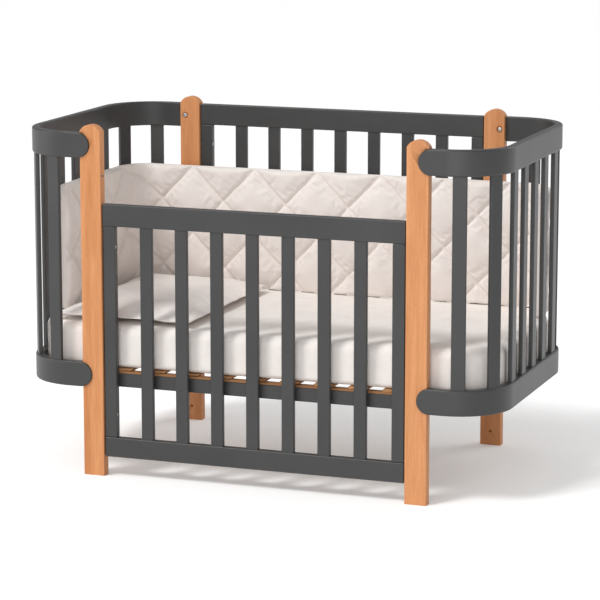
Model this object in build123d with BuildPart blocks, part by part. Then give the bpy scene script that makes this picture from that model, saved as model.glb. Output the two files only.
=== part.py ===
from build123d import *
from math import cos, degrees, pi, sin
import os

# A crib of bent and flat wooden members: four posts, a U-shaped rail above and below at each
# end, slats between them, a fixed back panel, a front panel that bolts on at two heights, and a
# slatted base with mattress, bumper and pillow.
# Millimetres. X runs along the crib, Y from the front (-Y) to the back (+Y), Z up. The origin
# is on the floor, in the middle of the four feet.

os.makedirs("parts", exist_ok=True)

# Mattress, and the room that the frame leaves round it
mattress_length = 1200
mattress_width = 600
mattress_thick = 107
mattress_corner = 110
mattress_top_edge = 24
mattress_bottom_edge = 12
end_room = 3
side_room = 7.5

# Posts, set in from the mattress's ends
post_set_in = 152.5
post_width = 55
post_depth = 27
post_height = 880
post_crown = 17
post_edge = 2.5

# Bent end rails, let into the posts from outside
rail_height = 63
rail_thick = 20
rail_corner = 137
rail_proud = 5.5
rail_lap = 26
rail_outer_edge = 4.5
rail_inner_edge = 3
rail_level = 225

# Slats between the end rails
end_slats = 9
end_slat_width = 35
end_slat_thick = 11
end_slat_edge = 3
end_slat_margin = 74.6

# Front and back panel
rail_below_post_top = 19
panel_drop = 175
panel_room = 2
panel_inset = 3
panel_thick = 20
panel_top_height = 55
panel_bottom_height = 50
panel_edge = 3
stile_width = 32
stile_thick = 18
stile_inset = 0.5
panel_slats = 7
panel_slat_width = 32
panel_slat_thick = 14
panel_slat_margin = 64.8

# Tenons of every slat and stile
tenon_length = 12
tenon_thick = 7
tenon_shoulder = 4
tenon_room = 0.2

# Base under the mattress
base_rail_set_in = 65
base_rail_height = 35
base_rail_thick = 20
batten_thick = 5
base_slats = 11
base_slat_width = 50
base_slat_thick = 6
base_slat_margin = 135
board_gap = 13
base_room = 3.5

# Bolts, the sleeves they screw into, and their holes
bolt_radius = 3
bolt_entry = 15
head_radius = 5.8
head_height = 3.3
head_recess = 4
drive_width = 1.5
drive_length = 6.5
drive_depth = 1.8
post_recess_radius = 8.3
stile_recess_radius = 6.5
bolt_room = 0.3
sleeve_radius = 4.5
sleeve_length = 13
sleeve_sunk = 0.5
sleeve_room = 0.1
sleeve_hole = 16
rail_bolt_inset = 13.4
base_bolt_inset = 40
panel_bolt_margin = 107

# Blind holes low on the posts
foot_hole_radius = 4
foot_hole_depth = 12
foot_hole_level = 38

# Bumper and pillow
bumper_height = 316.5
bumper_thick = 45
bumper_side_thick = 38
bumper_shoulder = 20
bumper_corner = 95
bumper_room = 2
bumper_left_end = -155
bumper_right_end = 150
seam_pitch = 175
seam_start = 37.5
seam_level = 227.4
seam_width = 4
seam_floor = 34
pillow_length = 370
pillow_width = 538
pillow_thick = 57
pillow_corner = 45
pillow_draw = 9
pillow_end_gap = 54
pillow_front_gap = 10
soft_gap = 0.3

# Places that follow from the sizes
end_inner = mattress_length / 2 + end_room
end_outer = end_inner + rail_thick
post_outer_x = mattress_length / 2 - post_set_in
post_inner_x = post_outer_x - post_width
post_mid_x = post_outer_x - post_width / 2
panel_width = 2 * (post_inner_x - panel_room)
panel_height = post_height - rail_below_post_top - rail_level
post_inner_y = mattress_width / 2 + side_room
post_outer_y = post_inner_y + post_depth
rail_outer_y = post_outer_y + rail_proud
rail_inner_y = rail_outer_y - rail_thick
rail_tip_x = post_outer_x - rail_lap
rail_bend_x = end_outer - rail_corner
rail_bend_y = rail_outer_y - rail_corner
top_rail_level = rail_level + panel_height - rail_height
rail_levels = {"lower": rail_level, "top": top_rail_level}
rail_bolt_x = post_outer_x - rail_bolt_inset
panel_y = post_outer_y - panel_inset - panel_thick / 2
stile_outer_x = panel_width / 2 - stile_inset
stile_inner_x = stile_outer_x - stile_width
base_bolt_x = post_outer_x - base_bolt_inset
base_length = mattress_length - 2 * base_rail_set_in
base_slat_span = mattress_length - 2 * base_slat_margin - base_slat_width
base_slat_pitch = base_slat_span / (base_slats - 1)
base_top = rail_level + base_rail_height
slat_level = base_top + batten_thick
mattress_level = slat_level + base_slat_thick + soft_gap
soft_level = mattress_level + mattress_thick + soft_gap
pillow_left = pillow_end_gap - mattress_length / 2
pillow_front = pillow_front_gap - mattress_width / 2

ends = {"left": -1, "right": 1}
sides = {"front": -1, "back": 1}


def save(piece, name):
    piece.part.label = name
    export_step(piece.part, f"parts/{name}.step")


# The line midway through an end rail's thickness carries the slats
line_radius = rail_corner - rail_thick / 2
line_half = rail_bend_y + line_radius * pi / 2 + (rail_bend_x - post_outer_x)
end_slat_pitch = 2 * (line_half - end_slat_margin) / (end_slats - 1)


def on_rail_line(distance, end):
    """X, Y and heading at a distance along the end rail's mid-line from the end's middle."""
    side = 1 if distance >= 0 else -1
    run = abs(distance)
    turn = min(max(run - rail_bend_y, 0) / line_radius, pi / 2)
    arm = max(run - rail_bend_y - line_radius * pi / 2, 0)
    x = rail_bend_x + line_radius * cos(turn) - arm
    y = min(run, rail_bend_y) + line_radius * sin(turn)
    return end * x, side * y, end * (90 + side * degrees(turn))


def slat_places(end, level):
    """Where the end slats meet a level, from the front to the back."""
    places = []
    for count in range(end_slats):
        distance = (count - (end_slats - 1) / 2) * end_slat_pitch
        x, y, heading = on_rail_line(distance, end)
        places.append(Location((x, y, level), (0, 0, heading)))
    return places


def panel_slat_places(level, y):
    """Where a panel's slats meet a level, from left to right."""
    first = -stile_inner_x + panel_slat_margin + panel_slat_width / 2
    pitch = -2 * first / (panel_slats - 1)
    return [Location((first + count * pitch, y, level)) for count in range(panel_slats)]


def inward_plane(end, side, x, y, level):
    """A plane on a face that looks at the middle of the crib across its depth."""
    return Plane(origin=(end * x, side * y, level), x_dir=(1, 0, 0), z_dir=(0, -side, 0))


def sideways_plane(end, side, x, y, level):
    """A plane on a face that looks at the middle of the crib along its length."""
    return Plane(origin=(end * x, side * y, level), x_dir=(0, 1, 0), z_dir=(-end, 0, 0))


# Heights at which the panels are bolted to the posts
panel_levels = {"front": [rail_level - panel_drop, rail_level], "back": [rail_level]}
panel_bolt_levels = [panel_bolt_margin, panel_height - panel_bolt_margin]


# Posts: an arched board with a pocket for each rail end, the recesses of the rail bolts, the
# sleeve holes for the panel and base bolts, and one blind hole near the foot
for end_name, end in ends.items():
    for side_name, side in sides.items():
        with BuildPart() as post:
            post_plane = Plane(
                origin=(end * post_mid_x, side * (post_inner_y + post_depth / 2), 0),
                x_dir=(1, 0, 0),
                z_dir=(0, -1, 0),
            )
            with BuildSketch(post_plane):
                with BuildLine():
                    half = post_width / 2
                    shoulder = post_height - post_crown
                    Polyline((-half, shoulder), (-half, 0), (half, 0), (half, shoulder))
                    ThreePointArc((half, shoulder), (0, post_height), (-half, shoulder))
                make_face()
            extrude(amount=post_depth / 2, both=True)
            fillet(post.faces().filter_by(Axis.Y).edges(), post_edge)
            for level in rail_levels.values():
                pocket_x = rail_tip_x - tenon_room + rail_height
                pocket_floor = Plane(
                    origin=(end * pocket_x, side * rail_inner_y, level + rail_height / 2),
                    x_dir=(1, 0, 0),
                    z_dir=(0, side, 0),
                )
                with BuildSketch(pocket_floor):
                    SlotOverall(2 * rail_height, rail_height + 2 * tenon_room)
                extrude(amount=rail_thick, mode=Mode.SUBTRACT)
                bolt_face = inward_plane(
                    end, side, rail_bolt_x, post_inner_y, level + rail_height / 2
                )
                with Locations(bolt_face):
                    CounterBoreHole(bolt_radius + bolt_room, post_recess_radius, head_recess)
            for bottom in panel_levels[side_name]:
                for height in panel_bolt_levels:
                    with Locations(
                        sideways_plane(end, side, post_inner_x, panel_y, bottom + height)
                    ):
                        Hole(sleeve_radius + sleeve_room, sleeve_hole)
            base_face = inward_plane(
                end, side, base_bolt_x, post_inner_y, rail_level + base_rail_height / 2
            )
            with Locations(base_face):
                Hole(sleeve_radius + sleeve_room, sleeve_hole)
            with Locations(inward_plane(end, side, post_mid_x, post_inner_y, foot_hole_level)):
                Hole(foot_hole_radius, foot_hole_depth)
        save(post, f"post_{side_name}_{end_name}")


def inset_from_outline(point):
    """How far a point lies inside the outer outline of the end rails."""
    x, y = abs(point.X), abs(point.Y)
    if x <= rail_bend_x:
        return rail_outer_y - y
    if y <= rail_bend_y:
        return end_outer - x
    return rail_corner - Vector(x - rail_bend_x, y - rail_bend_y).length


# End rails: a U in plan with half-round tips, rounded along its outer and inner edges, with
# mortises for the slats and sleeve holes for the rail bolts
for end_name, end in ends.items():
    for rail_name, level in rail_levels.items():
        with BuildPart() as rail:
            with BuildSketch(Plane.XY.offset(level)):
                RectangleRounded(2 * end_outer, 2 * rail_outer_y, rail_corner)
                RectangleRounded(
                    2 * end_inner, 2 * rail_inner_y, rail_corner - rail_thick, mode=Mode.SUBTRACT
                )
            extrude(amount=rail_height)
            tip_plane = Plane(
                origin=(end * end_outer, 0, level + rail_height / 2),
                x_dir=(1, 0, 0),
                z_dir=(0, -1, 0),
            )
            with BuildSketch(tip_plane):
                SlotOverall(2 * (end_outer - rail_tip_x), rail_height)
            extrude(amount=rail_outer_y, both=True, mode=Mode.INTERSECT)
            rims = rail.edges().filter_by(Axis.Z, reverse=True)
            outer_rim = rims.filter_by(lambda rim: abs(inset_from_outline(rim @ 0.5)) < 0.01)
            inner_rim = rims.filter_by(
                lambda rim: abs(inset_from_outline(rim @ 0.5) - rail_thick) < 0.01
            )
            fillet(outer_rim, rail_outer_edge)
            fillet(inner_rim, rail_inner_edge)
            mouth = level + rail_height if rail_name == "lower" else level
            with Locations(*slat_places(end, mouth)):
                Box(
                    end_slat_width - 2 * tenon_shoulder + 2 * tenon_room,
                    tenon_thick + 2 * tenon_room,
                    2 * (tenon_length + tenon_room),
                    mode=Mode.SUBTRACT,
                )
            for side in sides.values():
                arm_face = inward_plane(
                    end, side, rail_bolt_x, rail_inner_y, level + rail_height / 2
                )
                with Locations(arm_face):
                    Hole(sleeve_radius + sleeve_room, sleeve_hole)
        save(rail, f"end_rail_{rail_name}_{end_name}")


# End slats, with a tenon at each end
end_slat_length = top_rail_level - rail_level - rail_height
for end_name, end in ends.items():
    middles = slat_places(end, rail_level + rail_height + end_slat_length / 2)
    for count, middle in enumerate(middles, start=1):
        with BuildPart() as end_slat:
            with Locations(middle):
                Box(end_slat_width, end_slat_thick, end_slat_length)
            fillet(end_slat.edges().filter_by(Axis.Z), end_slat_edge)
            with Locations(middle):
                Box(
                    end_slat_width - 2 * tenon_shoulder,
                    tenon_thick,
                    end_slat_length + 2 * tenon_length,
                )
        save(end_slat, f"end_slat_{end_name}_{count}")


# Panels: two rails, two stiles and the slats. The back panel stands level with the end rails,
# the front panel one drop below it
stile_length = panel_height - panel_top_height - panel_bottom_height
for side_name, side in sides.items():
    panel_bottom = panel_levels[side_name][0]
    panel_mid_y = side * panel_y
    low_joint = panel_bottom + panel_bottom_height
    high_joint = low_joint + stile_length
    panel_rails = {
        "bottom": (panel_bottom, panel_bottom_height, low_joint),
        "top": (high_joint, panel_top_height, high_joint),
    }
    for rail_name, (level, height, mouth) in panel_rails.items():
        with BuildPart() as panel_rail:
            with Locations((0, panel_mid_y, level + height / 2)):
                Box(panel_width, panel_thick, height)
            fillet(panel_rail.edges(), panel_edge)
            with Locations(*panel_slat_places(mouth, panel_mid_y)):
                Box(
                    panel_slat_width - 2 * tenon_shoulder + 2 * tenon_room,
                    tenon_thick + 2 * tenon_room,
                    2 * (tenon_length + tenon_room),
                    mode=Mode.SUBTRACT,
                )
            stile_mid_x = stile_outer_x - stile_width / 2
            with Locations(
                (-stile_mid_x, panel_mid_y, mouth), (stile_mid_x, panel_mid_y, mouth)
            ):
                Box(
                    stile_width - 2 * tenon_shoulder + 2 * tenon_room,
                    tenon_thick + 2 * tenon_room,
                    2 * (tenon_length + tenon_room),
                    mode=Mode.SUBTRACT,
                )
        save(panel_rail, f"{side_name}_panel_rail_{rail_name}")

    mid_level = low_joint + stile_length / 2
    for end_name, end in ends.items():
        with BuildPart() as stile:
            stile_middle = (end * (stile_outer_x - stile_width / 2), panel_mid_y, mid_level)
            with Locations(stile_middle):
                Box(stile_width, stile_thick, stile_length)
            fillet(stile.edges(), panel_edge)
            with Locations(stile_middle):
                Box(
                    stile_width - 2 * tenon_shoulder,
                    tenon_thick,
                    stile_length + 2 * tenon_length,
                )
            for height in panel_bolt_levels:
                with Locations(
                    sideways_plane(end, side, stile_inner_x, panel_y, panel_bottom + height)
                ):
                    CounterBoreHole(bolt_radius + bolt_room, stile_recess_radius, head_recess)
        save(stile, f"{side_name}_panel_stile_{end_name}")

    for count, middle in enumerate(panel_slat_places(mid_level, panel_mid_y), start=1):
        with BuildPart() as panel_slat:
            with Locations(middle):
                Box(panel_slat_width, panel_slat_thick, stile_length)
            fillet(panel_slat.edges().filter_by(Axis.Z), panel_edge)
            with Locations(middle):
                Box(
                    panel_slat_width - 2 * tenon_shoulder,
                    tenon_thick,
                    stile_length + 2 * tenon_length,
                )
        save(panel_slat, f"{side_name}_panel_slat_{count}")


# Base: a rail along each side against the posts, a batten on it, and slats across
base_rail_y = post_inner_y - base_rail_thick / 2
with BuildPart() as base_rails:
    with Locations(
        (0, -base_rail_y, rail_level + base_rail_height / 2),
        (0, base_rail_y, rail_level + base_rail_height / 2),
    ):
        Box(base_length, base_rail_thick, base_rail_height)
    fillet(base_rails.edges().filter_by(Axis.X), 2)
    for end in ends.values():
        for side in sides.values():
            inner_face = inward_plane(
                end,
                side,
                base_bolt_x,
                post_inner_y - base_rail_thick,
                rail_level + base_rail_height / 2,
            )
            with Locations(inner_face):
                CounterBoreHole(bolt_radius + bolt_room, stile_recess_radius, head_recess)
save(base_rails, "base_side_rails")

with BuildPart() as battens:
    with Locations(
        (0, -base_rail_y, base_top + batten_thick / 2),
        (0, base_rail_y, base_top + batten_thick / 2),
    ):
        Box(base_length, base_rail_thick, batten_thick)
save(battens, "base_battens")

slat_reach = post_inner_y - base_room
with BuildPart() as cross_slats:
    with Locations((0, 0, slat_level + base_slat_thick / 2)):
        with GridLocations(base_slat_pitch, 1, base_slats, 1):
            Box(base_slat_width, 2 * slat_reach, base_slat_thick)
    fillet(cross_slats.edges().filter_by(Axis.Y), 1.5)
save(cross_slats, "base_slats")

board_start = (base_slats - 1) / 2 * base_slat_pitch + base_slat_width / 2 + board_gap
with BuildPart() as end_boards:
    with BuildSketch(Plane.XY.offset(slat_level)):
        RectangleRounded(
            2 * (end_inner - base_room),
            2 * slat_reach,
            rail_corner - rail_thick - base_room,
        )
        Rectangle(2 * board_start, 2 * slat_reach, mode=Mode.SUBTRACT)
    extrude(amount=base_slat_thick)
save(end_boards, "base_end_boards")


def bolt_set(planes, length):
    """Bolts with a round head and a cross drive; each plane lies under a head."""
    with BuildPart() as bolts:
        with Locations(*planes):
            Cylinder(
                head_radius, head_height, align=(Align.CENTER, Align.CENTER, Align.MIN)
            )
            Cylinder(bolt_radius, length, align=(Align.CENTER, Align.CENTER, Align.MAX))
        drives = [plane.offset(head_height) for plane in planes]
        with Locations(*drives):
            Box(drive_length, drive_width, 2 * drive_depth, mode=Mode.SUBTRACT)
            Box(drive_width, drive_length, 2 * drive_depth, mode=Mode.SUBTRACT)
    return bolts


corners = [(end, side) for end in ends.values() for side in sides.values()]

# Rail bolts, from inside the posts into the tips of the end rails
rail_bolts = bolt_set(
    [
        inward_plane(end, side, rail_bolt_x, post_inner_y + head_recess, level + rail_height / 2)
        for end, side in corners
        for level in rail_levels.values()
    ],
    rail_inner_y - post_inner_y - head_recess + bolt_entry,
)
save(rail_bolts, "rail_bolts")

# Base bolts, through the base's side rails into the posts
base_bolts = bolt_set(
    [
        inward_plane(
            end,
            side,
            base_bolt_x,
            post_inner_y - base_rail_thick + head_recess,
            rail_level + base_rail_height / 2,
        )
        for end, side in corners
    ],
    base_rail_thick - head_recess + bolt_entry,
)
save(base_bolts, "base_bolts")

# Panel bolts, through the stiles. Those of the back panel reach into the posts; those of the
# front panel are shown clear of the posts, as they are while the panel is moved
for side_name, side in sides.items():
    through = post_inner_x - stile_inner_x - head_recess
    length = through + bolt_entry if side_name == "back" else through - soft_gap
    panel_bolts = bolt_set(
        [
            sideways_plane(
                end,
                side,
                stile_inner_x + head_recess,
                panel_y,
                panel_levels[side_name][0] + height,
            )
            for end in ends.values()
            for height in panel_bolt_levels
        ],
        length,
    )
    save(panel_bolts, f"{side_name}_panel_bolts")

# Steel sleeves in the rail tips and in the posts
sleeve_planes = []
for end, side in corners:
    for level in rail_levels.values():
        sleeve_planes.append(
            inward_plane(end, side, rail_bolt_x, rail_inner_y, level + rail_height / 2)
        )
    sleeve_planes.append(
        inward_plane(end, side, base_bolt_x, post_inner_y, rail_level + base_rail_height / 2)
    )
    side_name = "front" if side < 0 else "back"
    for bottom in panel_levels[side_name]:
        for height in panel_bolt_levels:
            sleeve_planes.append(
                sideways_plane(end, side, post_inner_x, panel_y, bottom + height)
            )
with BuildPart() as sleeves:
    with Locations(*[plane.offset(-sleeve_sunk) for plane in sleeve_planes]):
        Cylinder(
            sleeve_radius, sleeve_length, align=(Align.CENTER, Align.CENTER, Align.MAX)
        )
        Cylinder(
            bolt_radius + bolt_room,
            sleeve_length,
            align=(Align.CENTER, Align.CENTER, Align.MAX),
            mode=Mode.SUBTRACT,
        )
save(sleeves, "bolt_sleeves")


# Mattress in its fitted sheet
with BuildPart() as mattress:
    with BuildSketch(Plane.XY.offset(mattress_level)):
        RectangleRounded(mattress_length, mattress_width, mattress_corner)
    extrude(amount=mattress_thick)
    fillet(mattress.edges().group_by(Axis.Z)[-1], mattress_top_edge)
    fillet(mattress.edges().group_by(Axis.Z)[0], mattress_bottom_edge)
save(mattress, "mattress")


def pillow_outline(shrink, draw):
    """Corners joined by sides that are drawn in towards the middle."""
    x = pillow_length / 2 - shrink
    y = pillow_width / 2 - shrink
    corner = pillow_corner
    cut = corner * (1 - cos(pi / 4))
    for sx, sy in ((1, 1), (-1, 1), (-1, -1), (1, -1)):
        start = (x, y - corner) if sx * sy > 0 else (x - corner, y)
        finish = (x - corner, y) if sx * sy > 0 else (x, y - corner)
        ThreePointArc(
            (sx * start[0], sy * start[1]),
            (sx * (x - cut), sy * (y - cut)),
            (sx * finish[0], sy * finish[1]),
        )
    ThreePointArc((x - corner, y), (0, y - draw), (corner - x, y))
    ThreePointArc((-x, y - corner), (draw - x, 0), (-x, corner - y))
    ThreePointArc((corner - x, -y), (0, draw - y), (x - corner, -y))
    ThreePointArc((x, corner - y), (x - draw, 0), (x, y - corner))


# Pillow: flat below, its seam at two fifths of the height, crowned above. Each row gives the
# share of the thickness, how far the outline has drawn back, and how much of the draw-in is left
pillow_rows = [
    (0, 30, 0.3),
    (0.1, 14, 0.6),
    (0.22, 4, 0.9),
    (0.4, 0, 1),
    (0.58, 7, 0.9),
    (0.74, 20, 0.7),
    (0.87, 40, 0.4),
    (0.95, 64, 0.2),
    (1, 104, 0.1),
]
with BuildPart() as pillow:
    for share, shrink, left in pillow_rows:
        row_plane = Plane(
            origin=(
                pillow_left + pillow_length / 2,
                pillow_front + pillow_width / 2,
                soft_level + share * pillow_thick,
            )
        )
        with BuildSketch(row_plane):
            with BuildLine():
                pillow_outline(shrink, left * pillow_draw)
            make_face()
    loft(ruled=True)
save(pillow, "pillow")


# Bumper: a padded band along the left end, the back and part of the right end, flat on its
# outer side and crowned on its inner side
bumper_back = post_inner_y - base_room - bumper_room
bumper_side = end_inner - end_room - bumper_room
bumper_bend_x = bumper_side - bumper_corner
bumper_bend_y = bumper_back - bumper_corner


def bumper_section():
    """The band's cross-section, from its outer side inwards and from its lower edge up."""
    low = bumper_shoulder
    high = bumper_height - bumper_shoulder
    depth = bumper_side_thick
    Line((0, high), (0, low))
    ThreePointArc((0, low), (depth / 2, 0), (depth, low))
    ThreePointArc((depth, low), (bumper_thick, bumper_height / 2), (depth, high))
    ThreePointArc((depth, high), (depth / 2, bumper_height), (0, high))


with BuildPart() as bumper:
    for end, run_end in ((-1, bumper_left_end), (1, bumper_right_end)):
        bend_start = Plane(
            origin=(end * bumper_side, bumper_bend_y, soft_level),
            x_dir=(-end, 0, 0),
            z_dir=(0, end, 0),
        )
        with BuildSketch(bend_start):
            with BuildLine():
                bumper_section()
            make_face()
        extrude(amount=-end * (bumper_bend_y - run_end))
        with BuildSketch(bend_start):
            with BuildLine():
                bumper_section()
            make_face()
        bend_axis = Axis((end * bumper_bend_x, bumper_bend_y, 0), (0, 0, end))
        revolve(axis=bend_axis, revolution_arc=90)
    back_start = Plane(
        origin=(-bumper_bend_x, bumper_back, soft_level), x_dir=(0, -1, 0), z_dir=(-1, 0, 0)
    )
    with BuildSketch(back_start):
        with BuildLine():
            bumper_section()
        make_face()
    extrude(amount=-2 * bumper_bend_x)

# Quilting seams of the bumper: two families of lines at 45 degrees on its inner face. On the
# flat runs each is a slot cut by a tilted board; round a corner a tilted plane stands in for
# the helix, and is 2 mm out at most
seam_radius = bumper_corner - bumper_thick
seam_arc = seam_radius * pi / 2
slot_depth = bumper_thick - seam_floor + 15
seam_mid = soft_level + seam_level
seam_reach = 2 * bumper_height
seam_count = int((bumper_bend_x + bumper_height) / seam_pitch) + 1
crossings = [seam_start + k * seam_pitch for k in range(-seam_count, seam_count + 1)]
seam_low = soft_level + bumper_shoulder
seam_height = bumper_height - 2 * bumper_shoulder

with BuildPart() as back_seams:
    slot_y = bumper_back - seam_floor - slot_depth / 2
    with Locations(
        *[Location((x, slot_y, seam_mid), (0, tilt, 0)) for x in crossings for tilt in (45, -45)]
    ):
        Box(seam_reach, slot_depth, seam_width)
    with Locations((0, slot_y, seam_low + seam_height / 2)):
        Box(2 * bumper_bend_x, slot_depth, seam_height, mode=Mode.INTERSECT)

end_seams = []
for end, run_end in ((-1, bumper_left_end), (1, bumper_right_end)):
    run_length = bumper_bend_y - run_end
    reach_out = bumper_bend_x + seam_arc
    last = int((reach_out + run_length + bumper_height) / seam_pitch) + 1
    outward = [end * seam_start + k * seam_pitch for k in range(last + 2)]
    slot_x = bumper_side - seam_floor - slot_depth / 2
    beside = [u for u in outward if u > reach_out - bumper_height]
    with BuildPart() as run_seams:
        with Locations(
            *[
                Location(
                    (end * slot_x, bumper_bend_y - (u - reach_out), seam_mid), (tilt, 0, 0)
                )
                for u in beside
                for tilt in (45, -45)
            ]
        ):
            Box(slot_depth, seam_reach, seam_width)
        with Locations(
            (end * slot_x, bumper_bend_y - run_length / 2, seam_low + seam_height / 2)
        ):
            Box(slot_depth, run_length, seam_height, mode=Mode.INTERSECT)
    end_seams.append(run_seams)

    near = [u for u in outward if abs(u - bumper_bend_x) < bumper_height + seam_arc]
    with BuildPart() as corner_seams:
        for u in near:
            for rise in (1, -1):
                tilted = Plane(
                    origin=(
                        end * bumper_bend_x,
                        bumper_bend_y + seam_radius,
                        seam_mid + rise * (bumper_bend_x - u),
                    ),
                    z_dir=(-rise * end * pi / 4, rise * pi / 4, 1),
                )
                with Locations(tilted):
                    Box(4 * bumper_corner, 4 * bumper_corner, seam_width)
        with BuildSketch(Plane.XY.offset(seam_low)):
            with Locations((end * bumper_bend_x, bumper_bend_y)):
                Circle(bumper_corner - seam_floor)
                Circle(bumper_corner - seam_floor - slot_depth, mode=Mode.SUBTRACT)
                Rectangle(
                    2 * bumper_corner,
                    bumper_corner,
                    align=(Align.CENTER, Align.MIN),
                    mode=Mode.INTERSECT,
                )
            with Locations((end * bumper_bend_x, bumper_bend_y)):
                Rectangle(
                    bumper_corner,
                    2 * bumper_corner,
                    align=(Align.MIN if end > 0 else Align.MAX, Align.CENTER),
                    mode=Mode.INTERSECT,
                )
        extrude(amount=seam_height, mode=Mode.INTERSECT)
    end_seams.append(corner_seams)

with bumper:
    add(back_seams, mode=Mode.SUBTRACT)
    for seams in end_seams:
        add(seams, mode=Mode.SUBTRACT)
save(bumper, "bumper")
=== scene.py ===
# %% [markdown]
# # A convertible crib
# The frame file holds every wooden member, bolt and soft solid of the crib at its real size.
# This lesson dresses it: it gives the timber its beech and its graphite paint, puts the slats
# and the bolts in rows with Geometry Nodes, and makes the mattress, bumper and pillow of cloth.

# %% Load the frame
import math

import bmesh
import bpy
import numpy as np
from mathutils import Matrix, Vector


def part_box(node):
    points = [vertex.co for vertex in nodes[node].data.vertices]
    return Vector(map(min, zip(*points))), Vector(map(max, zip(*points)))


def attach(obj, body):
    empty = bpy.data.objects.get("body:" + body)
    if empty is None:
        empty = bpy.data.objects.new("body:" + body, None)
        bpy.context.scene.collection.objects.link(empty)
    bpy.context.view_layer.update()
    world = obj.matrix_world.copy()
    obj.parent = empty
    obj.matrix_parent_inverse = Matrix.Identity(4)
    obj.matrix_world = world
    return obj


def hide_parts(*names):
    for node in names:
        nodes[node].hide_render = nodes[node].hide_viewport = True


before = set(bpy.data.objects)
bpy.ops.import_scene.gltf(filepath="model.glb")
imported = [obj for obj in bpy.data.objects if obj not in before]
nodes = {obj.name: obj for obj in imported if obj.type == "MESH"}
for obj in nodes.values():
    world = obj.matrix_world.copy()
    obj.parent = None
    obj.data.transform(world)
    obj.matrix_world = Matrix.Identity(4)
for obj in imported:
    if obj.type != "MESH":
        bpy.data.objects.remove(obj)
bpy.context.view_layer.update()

# %% [markdown]
# ## Sizes
# The frame gives most places. A few sizes that the soft pieces and the slats share are named
# here, in metres, as a joiner or an upholsterer would write them down.

# %% Sizes in metres
MM = 0.001
RAIL_THICK = 20 * MM
RAIL_CORNER = 137 * MM
SLAT_EDGE = 3 * MM
LINE_RADIUS = RAIL_CORNER - RAIL_THICK / 2
SEAM_PITCH = 175 * MM
SEAM_START = 37.5 * MM


def low(node):
    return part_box(node)[0]


def high(node):
    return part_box(node)[1]


END_OUTER = high("end_rail_top_right").x
DEPTH_OUTER = high("end_rail_top_right").y
POST_OUTER = high("post_front_right").x
SOFT_LEVEL = low("bumper").z
print("end rails reach x", round(END_OUTER, 4), "and y", round(DEPTH_OUTER, 4))

# %% [markdown]
# ## Colour and nodes
# A paint or cloth is noted as an sRGB hex value, as a colour card gives it, and Blender works
# in linear light, so one function turns the one into the other. A second one adds a node with
# its settings and links, in a material and in a geometry tree alike.


# %% Helpers for colours and nodes
def linear(code):
    """An sRGB hex colour as linear red, green, blue and an alpha of 1."""
    parts = [int(code[i : i + 2], 16) / 255 for i in (1, 3, 5)]
    turned = [c / 12.92 if c <= 0.04045 else ((c + 0.055) / 1.055) ** 2.4 for c in parts]
    return (*turned, 1.0)


def feed(tree, node, inputs):
    """Give each named or numbered socket a value, or link it to another node's output."""
    for socket, value in inputs.items():
        if isinstance(value, bpy.types.NodeSocket):
            tree.links.new(value, node.inputs[socket])
        else:
            node.inputs[socket].default_value = value


def add(tree, kind, inputs=None, **settings):
    """Add a node. inputs gives a socket's name or number a value, or another node's output."""
    made = tree.nodes.new(kind)
    for name, value in settings.items():
        setattr(made, name, value)
    feed(tree, made, inputs or {})
    return made


def colour_ramp(tree, amount, first, last, start=0.0, end=1.0):
    """A ramp from one hex colour to another, driven by another node's output."""
    made = add(tree, "ShaderNodeValToRGB", {"Fac": amount})
    begin, finish = made.color_ramp.elements
    begin.position, finish.position = start, end
    begin.color, finish.color = linear(first), linear(last)
    return made.outputs["Color"]


def blended(tree, share, first, second):
    """A mix of two values."""
    inputs = {0: share, 2: first, 3: second}
    return add(tree, "ShaderNodeMix", inputs, data_type="FLOAT").outputs[0]


def larger(tree, first, second):
    return add(tree, "ShaderNodeMath", {0: first, 1: second}, operation="MAXIMUM").outputs[0]


def noise_field(tree, place, scale, **inputs):
    inputs = {"Vector": place, "Scale": scale, **inputs}
    return add(tree, "ShaderNodeTexNoise", inputs).outputs["Fac"]


def value_span(tree, value, least, most):
    """A value from 0 to 1 spread from least to most."""
    inputs = {"Value": value, "To Min": least, "To Max": most}
    return add(tree, "ShaderNodeMapRange", inputs).outputs[0]


def bump(tree, height, strength, distance):
    inputs = {"Height": height, "Strength": strength, "Distance": distance}
    return add(tree, "ShaderNodeBump", inputs).outputs[0]


def start_material(name):
    """An empty material with a Principled shader on its output."""
    material = bpy.data.materials.new(name)
    material.use_nodes = True
    tree = material.node_tree
    tree.nodes.clear()
    shader = add(tree, "ShaderNodeBsdfPrincipled")
    add(tree, "ShaderNodeOutputMaterial", {"Surface": shader.outputs[0]})
    return material, tree, shader


print("mid grey #808080 is", [round(c, 3) for c in linear("#808080")[:3]], "in linear light")

# %% [markdown]
# ## Oiled beech
# The posts are solid beech, planed and oiled. Beech is an even, warm wood: long soft streaks
# run along the board, and short dark flecks, the rays, lie in line with them. Real rays are about
# 2 mm long and 0.3 mm wide, finer than a pixel of the picture, so each is drawn as the heart of
# a cell of 7 by 0.9 mm.


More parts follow.
